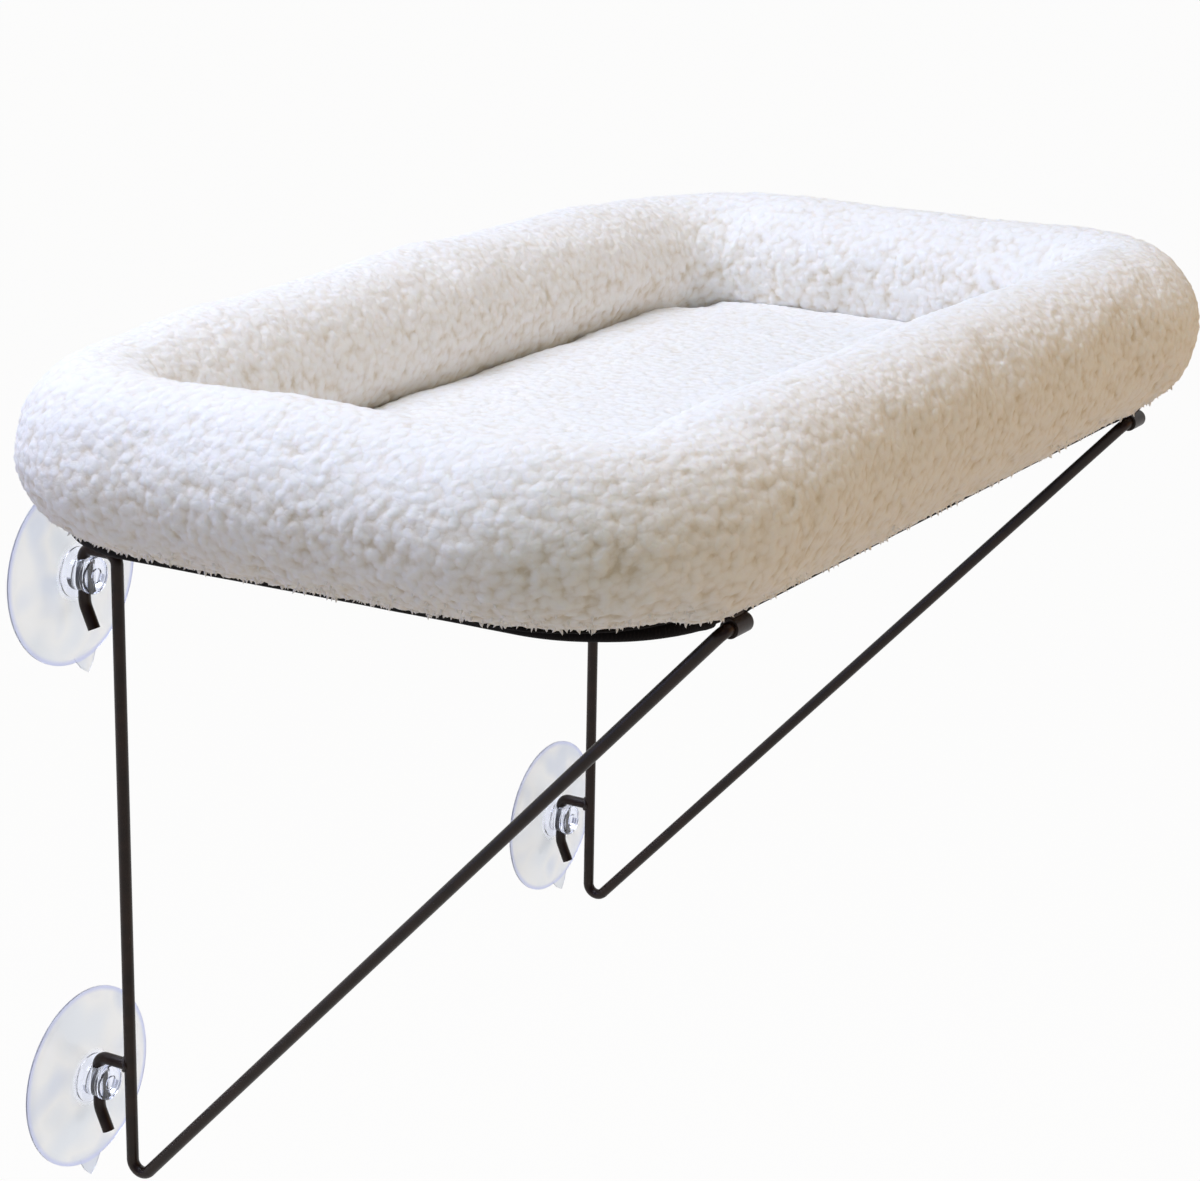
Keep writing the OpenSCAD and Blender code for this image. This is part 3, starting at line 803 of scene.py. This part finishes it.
def stackedForm(name, rows, levels, middle, material):
    across, count = len(rows), len(levels)
    points = [np.c_[middle.x + rows[:, 0] * s, middle.y + rows[:, 1] * s, np.full(across, z)]
              for s, z in levels]
    ends = [[middle.x, middle.y, levels[0][1]], [middle.x, middle.y, levels[-1][1]]]
    faces = gridFaces(count, across)
    bottom, last = across * count, across * (count - 1)
    for i in range(across):
        beside = (i + 1) % across
        faces += [(bottom, beside, i), (bottom + 1, last + i, last + beside)]
    return meshPiece(name, placeOnPlatform(np.concatenate(points + [np.array(ends)])), faces, material)


def makeCushion():
    low, high = platformBox("floor_cushion")
    halfX, halfY = (high.x - low.x) / 2, (high.y - low.y) / 2
    rows = wholeOutline(halfX, halfY, cushion["radius"] * mm, cushion["step"])
    rows[:, :2] += rows[:, 2:4] * cushion["grow"] * mm
    levels = [(s, low.z + z * (high.z - low.z)) for s, z in cushion["profile"]]
    pad = stackedForm("floor_cushion_sherpa", rows, levels, (low + high) / 2, sherpaMaterial)
    remesh = pad.modifiers.new("even", "REMESH")
    remesh.mode = "VOXEL"
    remesh.voxel_size = cushion["voxel"] * mm
    applyModifiers(pad)
    points = readPoints(pad.data)
    pinned = np.where(points[:, 2] < points[:, 2].min() + cushion["pinned"] * mm)[0]
    movePoints(pad.data, points + puffUp(pad, cushion["puff"], pinned))
    subdivide(pad, 2)
    raiseCurls(pad, 2)
    return pad


cushionPiece = makeCushion()
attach(cushionPiece, "bed")
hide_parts("floor_cushion")
print("floor cushion made")


# The base under the bed: black twill over thin foam, with a corded edge
base = {
    "radius": 59.0, "round": 1.8, "step": 4,
    "cord": 1.3, "cordRise": 1.5, "cordStep": 3.5, "cordSides": 10,
    "gather": 0.05, "gatherTurn": 1.9,  # how the cord's radius wavers
}


def makeBase():
    low, high = platformBox("base_pad")
    middle = (low + high) / 2
    halfX, halfY, radius = (high.x - low.x) / 2, (high.y - low.y) / 2, base["radius"] * mm
    edge = base["round"] * mm / halfY
    shares = [(0.1, 0), (0.3, 0), (0.5, 0), (0.7, 0), (0.85, 0), (0.95, 0.02), (1 - edge, 0.08),
              (1 - edge * 0.3, 0.25), (1.0, 0.5), (1 - edge * 0.3, 0.75), (1 - edge, 0.92),
              (0.95, 0.98), (0.7, 1.0), (0.3, 1.0)]
    levels = [(s, low.z + z * (high.z - low.z)) for s, z in shares]
    rows = wholeOutline(halfX, halfY, radius, base["step"])
    pad = stackedForm("base_twill", rows, levels, middle, twillMaterial)
    rows = wholeOutline(halfX, halfY, radius, base["cordStep"])
    path = placeOnPlatform(np.c_[middle.x + rows[:, 0], middle.y + rows[:, 1],
                                 np.full(len(rows), low.z + base["cordRise"] * mm)])
    gathers = 1 + base["gather"] * np.sin(np.arange(len(path)) * base["gatherTurn"])
    points, faces = tubes([path], [base["cord"] * mm * gathers], base["cordSides"], closed=True)
    cord = meshPiece("base_corded_edge", points, faces, twillMaterial)
    for piece in (pad, cord):
        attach(piece, "bed")
    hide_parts("base_pad")


makeBase()
print("base made")


# Canvas channels: each wraps the rail and ends in a flat lap that is sewn to the panel
channel = {
    "radius": 3.6, "step": 3.5, "arcSteps": 18,
    "lap": 12.0,  # from the rail's centre line to the end of the lap
    "lapThick": 1.5, "lapTaper": 0.6,  # the taper is a share of its thickness
    "root": 0.35,  # radians between the lap and the round part
    "crinkle": 0.14, "crinkleSize": 15.0,
    "crinklePoints": 6,  # points of the section that one crinkle takes
    "crinkleShift": (3.3, 40),  # so that no two channels crinkle alike
    "hem": 5.0, "hemRise": 0.3, "hemStep": 0.6,  # the folded end
    "notch": 1.0,  # space beside a sleeve
}
stitch = {
    "gap": 4.6, "length": 3.3, "radius": 0.38, "sides": 6,
    "seam": 2.6,  # from the end of the lap to its stitches
    "shares": (0.0, 0.12, 0.5, 0.88, 1.0),  # where its points lie along its length
    "rises": (-0.1, 0.16, 0.16, 0.16, -0.1),
    "taper": (0.35, 1, 1.1, 1, 0.35),
}
rail = {"wire": 5.6, "radius": 58.0}
railLow, railHigh = platformBox("platform_rail")
railMiddle = (railLow + railHigh) / 2
railHalfX = (railHigh.x - railLow.x - rail["wire"] * mm) / 2
railHalfY = (railHigh.y - railLow.y - rail["wire"] * mm) / 2
railRadius = rail["radius"] * mm
railWhole = outlineLength(railHalfX, railHalfY, railRadius)
stitchPaths = []


def channelSection(swell):
    radius, lap, half = channel["radius"] * mm + swell, channel["lap"] * mm, channel["lapThick"] / 2 * mm
    root = math.asin(min(1, half / radius)) + channel["root"]
    end = half * channel["lapTaper"]
    section = [(-lap, end), (-lap + half, half), (-(lap + radius) / 2, half)]
    for i in range(channel["arcSteps"] + 1):
        turn = math.pi - root - 2 * (math.pi - root) * i / channel["arcSteps"]
        section.append((radius * math.cos(turn), radius * math.sin(turn)))
    return section + [(-(lap + radius) / 2, -half), (-lap + half, -half), (-lap, -end)]


def makeChannel(name, start, end, node):
    lengths = evenly(end - start, channel["step"] * mm, start) + [end]
    rows = alongOutline(railHalfX, railHalfY, railRadius, lengths)
    shift, shiftShare = channel["crinkleShift"]
    points = []
    for row, length in zip(rows, lengths):
        inHem = channel["hem"] * mm - min(length - start, end - length)
        hemShare = max(0.0, min(1.0, inHem / (channel["hemStep"] * mm)))
        section = np.array(channelSection(channel["hemRise"] * mm * hemShare))
        places = np.c_[np.full(len(section), length / (channel["crinkleSize"] * mm)),
                       np.arange(len(section)) / channel["crinklePoints"],
                       np.full(len(section), shift + start * shiftShare)]
        swell = 1 + smoothNoise(places, 7) * channel["crinkle"] / channel["radius"]
        swell[section[:, 0] < -channel["radius"] * mm] = 1
        out, up = section[:, 0] * swell, section[:, 1] * swell
        points.append(np.c_[railMiddle.x + row[0] + row[2] * out, railMiddle.y + row[1] + row[3] * out,
                            railMiddle.z + up])
    across, last = len(section), (len(lengths) - 1) * len(section)
    faces = [tuple(reversed(f)) for f in gridFaces(len(lengths), across)]
    faces += [tuple(range(across)), tuple(reversed(range(last, last + across)))]
    piece = meshPiece(name, placeOnPlatform(np.concatenate(points)), faces, canvasMaterial)
    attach(piece, "platform")
    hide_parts(node)
    addStitches(start + stitch["seam"] * mm, end - stitch["seam"] * mm)


def addStitches(start, end):
    half = channel["lapThick"] / 2 * mm
    out = -(channel["lap"] - stitch["seam"]) * mm
    for at in evenly(end - start, stitch["gap"] * mm, start):
        rows = alongOutline(railHalfX, railHalfY, railRadius,
                            [at + stitch["length"] * mm * s for s in stitch["shares"]])
        for side in (1, -1):
            stitchPaths.append(placeOnPlatform(
                [(railMiddle.x + r[0] + r[2] * out, railMiddle.y + r[1] + r[3] * out,
                  railMiddle.z + side * (half + rise * mm)) for r, rise in zip(rows, stitch["rises"])]))


# Where a place on the front or the rear of the rail lies along its length
def frontLength(x):
    return x - railMiddle.x


def rearLength(x):
    straights = 2 * (railHalfX - railRadius) + 2 * (railHalfY - railRadius)
    return straights + railRadius * math.pi - (x - railMiddle.x)


def acrossFrom(node, x):  # the same place on the other side of a saddle
    low, high = platformBox(node)
    return low.x + high.x - x


notch = channel["notch"] * mm
frontLow, frontHigh = platformBox("front_channel")
rearLow, rearHigh = platformBox("rear_channel")
makeChannel("canvas_channel_front", frontLength(frontLow.x), frontLength(frontHigh.x), "front_channel")
makeChannel("canvas_channel_rear", rearLength(rearHigh.x), rearLength(rearLow.x), "rear_channel")
makeChannel("canvas_channel_right", frontLength(platformBox("right_pivot_sleeve")[1].x + notch),
            rearLength(acrossFrom("right_saddle", rearHigh.x)), "right_channel")
makeChannel("canvas_channel_left", rearLength(acrossFrom("left_saddle", rearLow.x)),
            railWhole + frontLength(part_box("left_brace")[0].x - notch), "left_channel")
stitchRadii = [np.array(stitch["taper"]) * stitch["radius"] * mm] * len(stitchPaths)
stitchPiece = meshPiece("channel_stitches", *tubes(stitchPaths, stitchRadii, stitch["sides"]),
                        threadMaterial)
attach(stitchPiece, "platform")
print("canvas channels made with", len(stitchPaths), "stitches")


# The canvas panel between the channels, sagging under the bed
sling = {
    "sag": 12.0, "thick": 0.6, "rings": 26, "step": 7,
    "wave": 0.8, "waveSize": 34.0, "waveFade": 6,  # the fade is towards the edge
    "filled": 0.985,  # share of its rectangle that its rounded corners leave
}


def makeSling():
    low, high = platformBox("sling_panel")
    halfX, halfY = (high.x - low.x) / 2, (high.y - low.y) / 2
    middle = (low + high) / 2
    rows = wholeOutline(halfX, halfY, railRadius - (railHalfX - halfX), sling["step"])
    points = []
    for share in np.arange(1, sling["rings"] + 1) / sling["rings"]:
        flat = np.c_[middle.x + rows[:, 0] * share, middle.y + rows[:, 1] * share]
        wave = smoothNoise(np.c_[flat / (sling["waveSize"] * mm), np.full(len(rows), 0.5)], 9)
        depth = sling["sag"] * mm * (1 - share * share)
        wave *= sling["wave"] * mm * min(1.0, (1 - share) * sling["waveFade"])
        points.append(np.c_[flat, railMiddle.z - depth + wave])
    points.append(np.array([[middle.x, middle.y, railMiddle.z - sling["sag"] * mm]]))
    points = np.concatenate(points)
    across = len(rows)
    faces = [tuple(reversed(f)) for f in gridFaces(sling["rings"], across)]
    faces += [(len(points) - 1, i, (i + 1) % across) for i in range(across)]
    panel = meshPiece("canvas_sling", placeOnPlatform(points), faces, canvasMaterial)
    thick = panel.modifiers.new("thick", "SOLIDIFY")
    thick.thickness = sling["thick"] * mm
    thick.offset = 0
    applyModifiers(panel)
    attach(panel, "platform")
    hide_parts("sling_panel")


makeSling()
print("sling made")


# Weld beads: where a lower hook meets its upright, and along both sides of a sleeve
weld = {
    "radius": 0.95, "ripple": 0.16, "pitch": 1.3, "sides": 8,
    "endShare": 0.35, "endStep": 0.3,  # thickness at an open end, and what each point adds
    "bite": 0.35, "hookPoints": 36,
    "hookGap": 0.2, "uprightGap": 0.3,  # from the surfaces of the hook and the upright
    "sleeveStart": 0.8, "sleeveStep": 0.45, "sleevePoints": 25,
    "sleeveBite": 0.4, "sleeveAside": 2.1,
    "sleeveShare": 1.05,  # thickness against that of a hook's bead
}


def rippled(path, closed):
    length, radii = 0.0, []
    first, step = weld["endShare"], weld["endStep"]
    for k, point in enumerate(path):
        length += (Vector(point) - Vector(path[k - 1])).length if k else 0
        wave = math.sin(length / (weld["pitch"] * mm) * 2 * math.pi)
        share = 1 if closed else min(1, first + k * step, first + (len(path) - 1 - k) * step)
        radii.append((weld["radius"] + weld["ripple"] * wave) * mm * share)
    return radii


def weldHook(name, hook):
    low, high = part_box(hook)
    wire = rail["wire"] / 2 * mm
    x, z = (low[0] + high[0]) / 2, high[2] - wire
    y = low[1] - wire + weld["bite"] * mm
    around, onUpright = wire + weld["hookGap"] * mm, wire + weld["uprightGap"] * mm
    path = []
    for k in range(weld["hookPoints"]):
        turn = 2 * math.pi * k / weld["hookPoints"]
        aside = around * math.cos(turn)
        path.append((x + aside, y + math.sqrt(max(0, onUpright ** 2 - aside ** 2)),
                     z + around * math.sin(turn)))
    tube = tubes([path], [rippled(path, True)], weld["sides"], closed=True)
    bead = meshPiece(name, *tube, weldMaterial)
    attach(bead, "braces")


def weldSleeve(name, sleeve):
    low, high = platformBox(sleeve)
    middle = (low + high) / 2
    toRail = Vector((0, railMiddle.y - railHalfY - middle.y, railMiddle.z - middle.z)).normalized()
    aside = Vector((0, -toRail.z, toRail.y)) * weld["sleeveAside"] * mm
    reach = (high.z - low.z) / 2 - weld["sleeveBite"] * mm
    paths = []
    for side in (1, -1):
        groove = Vector((0, middle.y, middle.z)) + toRail * reach + aside * side
        paths.append(placeOnPlatform(
            [(low.x + (weld["sleeveStart"] + weld["sleeveStep"] * k) * mm, groove.y, groove.z)
             for k in range(weld["sleevePoints"])]))
    radii = [[r * weld["sleeveShare"] for r in rippled(path, False)] for path in paths]
    bead = meshPiece(name, *tubes(paths, radii, weld["sides"]), weldMaterial)
    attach(bead, "platform")


for side in ("left", "right"):
    weldHook(side + "_hook_weld", side + "_lower_hook")
for side in ("left", "right"):
    weldSleeve(side + "_sleeve_weld", side + "_pivot_sleeve")
print("welds made")


# CAD nodes that stay get their finishes
def finishNode(name, material):
    data = frame["nodes"][name].data
    data.materials.clear()
    data.materials.append(material)


for node in frame["nodes"]:
    if node.split("_")[-1] in ("brace", "hook", "rail", "sleeve", "saddle"):
        finishNode(node, wireMaterial)
for joint in frame["joints"]:
    if joint["name"].endswith("_cup_swivel"):
        cup = joint["name"].replace("_swivel", "")
        finishNode(cup, clearVinyl("clearVinyl_" + cup, joint["pos_m"]))
print("frame finished")


# Studio: a pale floor far below, soft lamps and a white surround. Clear and glossy things also
# see a dim room in front and to the left.
studio = {
    "floorZ": -0.75, "floorSize": 30.0, "floorColour": "#e6ded4",
    "floorGlow": 0.96,  # share of plain white in the floor where it is seen directly
    "worldColour": "#fffef0", "worldStrength": 0.38, "whiteStrength": 0.978,
    "roomColour": "#35437a", "roomSide": (-0.62, -0.76, 0.18),
    "roomEdge": (-0.25, 0.3),  # how far a direction points to that side, from no room to full room
    "lampTarget": (0, -0.18, 0.15),
    "lamps": [  # place, size, watts and colour
        ("keyLamp", (-0.5, 0.55, 1.7), 1.6, 31.5, "#e4eaff"),
        ("sideLamp", (-1.45, 1.4, 0.5), 1.2, 6.2, "#7f9cff"),
        ("warmLamp", (0.6, -1.9, 0.5), 1.2, 5.7, "#ffb84a"),
    ],
}


def seenDirectly(tree):
    seen = addNode(tree, "LightPath", "Is Camera Ray")
    for kind in ("Is Glossy Ray", "Is Transmission Ray"):
        seen = addNode(tree, "Math", "Value", {0: seen, 1: addNode(tree, "LightPath", kind)},
                       operation="MAXIMUM")
    return seen


def makeWorld():
    world = bpy.data.worlds.new("studioWorld")
    bpy.context.scene.world = world
    world.use_nodes = True
    tree = world.node_tree
    plain = tree.nodes["Background"]
    setInputs(plain, {"Color": toLinear(studio["worldColour"]), "Strength": studio["worldStrength"]})
    way = addNode(tree, "TexCoord", "Generated")
    facing = addNode(tree, "VectorMath", "Value", {0: way, 1: studio["roomSide"]},
                     operation="DOT_PRODUCT")
    start, end = studio["roomEdge"]
    room = addNode(tree, "MapRange", "Result", {"Value": facing, "From Min": start, "From Max": end})
    notCamera = addNode(tree, "Math", "Value", {0: 1.0, 1: addNode(tree, "LightPath", "Is Camera Ray")},
                        operation="SUBTRACT")
    share = addNode(tree, "Math", "Value", {0: room, 1: notCamera}, operation="MULTIPLY")
    tint = addNode(tree, "Mix", 2, {0: share, 6: (1, 1, 1, 1), 7: toLinear(studio["roomColour"])},
                   data_type="RGBA")
    white = addNode(tree, "Background", "Background", {"Color": tint, "Strength": studio["whiteStrength"]})
    mixed = addNode(tree, "MixShader", "Shader", {
        0: seenDirectly(tree), 1: plain.outputs["Background"], 2: white})
    setInputs(tree.nodes["World Output"], {"Surface": mixed})


def makeFloor():
    size = studio["floorSize"]
    points = [(-size, -size, 0), (size, -size, 0), (size, size, 0), (-size, size, 0)]
    material, tree, shader = newMaterial("paleFloor")
    setInputs(shader, {"Base Color": toLinear(studio["floorColour"]), "Roughness": 0.9})
    share = addNode(tree, "Math", "Value", {0: seenDirectly(tree), 1: studio["floorGlow"]},
                    operation="MULTIPLY")
    glow = addNode(tree, "Emission", "Emission")  # plain white
    mixed = addNode(tree, "MixShader", "Shader", {0: share, 1: shader.outputs["BSDF"], 2: glow})
    setInputs(tree.nodes["Material Output"], {"Surface": mixed})
    floor = meshPiece("floor", points, [(0, 1, 2, 3)], material)
    floor.location.z = studio["floorZ"]


def makeLamps():
    target = Vector(studio["lampTarget"])
    for name, place, size, power, colour in studio["lamps"]:
        data = bpy.data.lights.new(name, "AREA")
        data.shape = "DISK"
        data.size = size
        data.energy = power
        data.color = toLinear(colour)[:3]
        lamp = bpy.data.objects.new(name, data)
        lamp.location = place
        lamp.rotation_euler = (target - Vector(place)).to_track_quat("-Z", "Y").to_euler()
        lamp.visible_transmission = name == "keyLamp"  # the tinted lamps would colour clear things
        bpy.context.scene.collection.objects.link(lamp)


makeWorld()
makeFloor()
makeLamps()
bpy.context.scene.view_settings.view_transform = "Standard"
print("studio ready")
